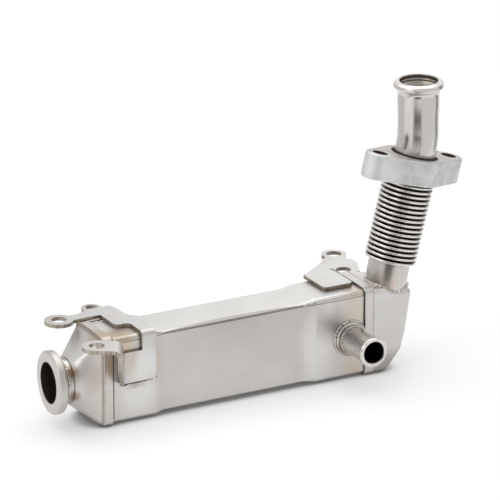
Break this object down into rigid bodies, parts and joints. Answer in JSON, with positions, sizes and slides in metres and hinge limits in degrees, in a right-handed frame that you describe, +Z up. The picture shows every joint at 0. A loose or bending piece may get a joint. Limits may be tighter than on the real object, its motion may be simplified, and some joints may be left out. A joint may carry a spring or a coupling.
{
  "type": "exhaust gas recirculation cooler",
  "caption": "Rectangular stainless gas cooler core with a round clamp-ring inlet, side coolant nipples, bracket plates and a bellows outlet pipe through a loose oval flange.",
  "frame": {"origin": "centre of the gas inlet's sealing face, on the axis of the core", "axes": "+X runs along the core from the inlet to the outlet, +Y points away from the side with the outlet-end coolant nipple, +Z points up"},
  "size_m": [0.3041, 0.1143, 0.1915],
  "materials": {
    "inlet_flange": "bead-blasted matt stainless steel",
    "inlet_cone": "pressed stainless sheet, satin",
    "shell_tray": "stainless sheet, satin, lightly heat tinted at the outlet end",
    "shell_cover": "stainless sheet, satin",
    "inner_plates": "brazed stainless plate",
    "gas_tubes": "thin drawn stainless tube",
    "fins": "folded stainless foil",
    "outlet_collar": "stainless sheet, satin",
    "outlet_neck": "drawn stainless tube, tinted by its weld",
    "outlet_tank": "pressed stainless sheet, satin",
    "bellows": "bright formed stainless bellows",
    "oval_flange": "cast steel, matt and slightly pitted",
    "outlet_pipe": "drawn stainless tube, half bright",
    "nipples": "turned stainless tube, half bright",
    "bosses": "turned stainless steel, tinted by its weld",
    "inlet_bracket": "laser-cut stainless plate, pale faces and dark cut edges",
    "outlet_bracket": "laser-cut stainless plate, pale faces and dark cut edges"
  },
  "bodies": {
    "root": {"inlet_flange": "inlet_flange", "inlet_cone": "inlet_cone", "shell_tray": "shell_tray", "shell_cover": "shell_cover", "inlet_tube_plate": "inner_plates", "outlet_tube_plate": "inner_plates", "first_baffle": "inner_plates", "second_baffle": "inner_plates", "gas_tube_1": "gas_tubes", "fin_1": "fins", "gas_tube_2": "gas_tubes", "fin_2": "fins", "gas_tube_3": "gas_tubes", "fin_3": "fins", "gas_tube_4": "gas_tubes", "fin_4": "fins", "gas_tube_5": "gas_tubes", "fin_5": "fins", "gas_tube_6": "gas_tubes", "fin_6": "fins", "outlet_collar": "outlet_collar", "outlet_neck": "outlet_neck", "outlet_tank": "outlet_tank", "bellows": "bellows", "oval_flange": "oval_flange", "outlet_pipe": "outlet_pipe", "front_nipple": "nipples", "front_boss": "bosses", "rear_nipple": "nipples", "rear_boss": "bosses", "inlet_bracket": "inlet_bracket", "outlet_bracket": "outlet_bracket"}
  },
  "joints": []
}
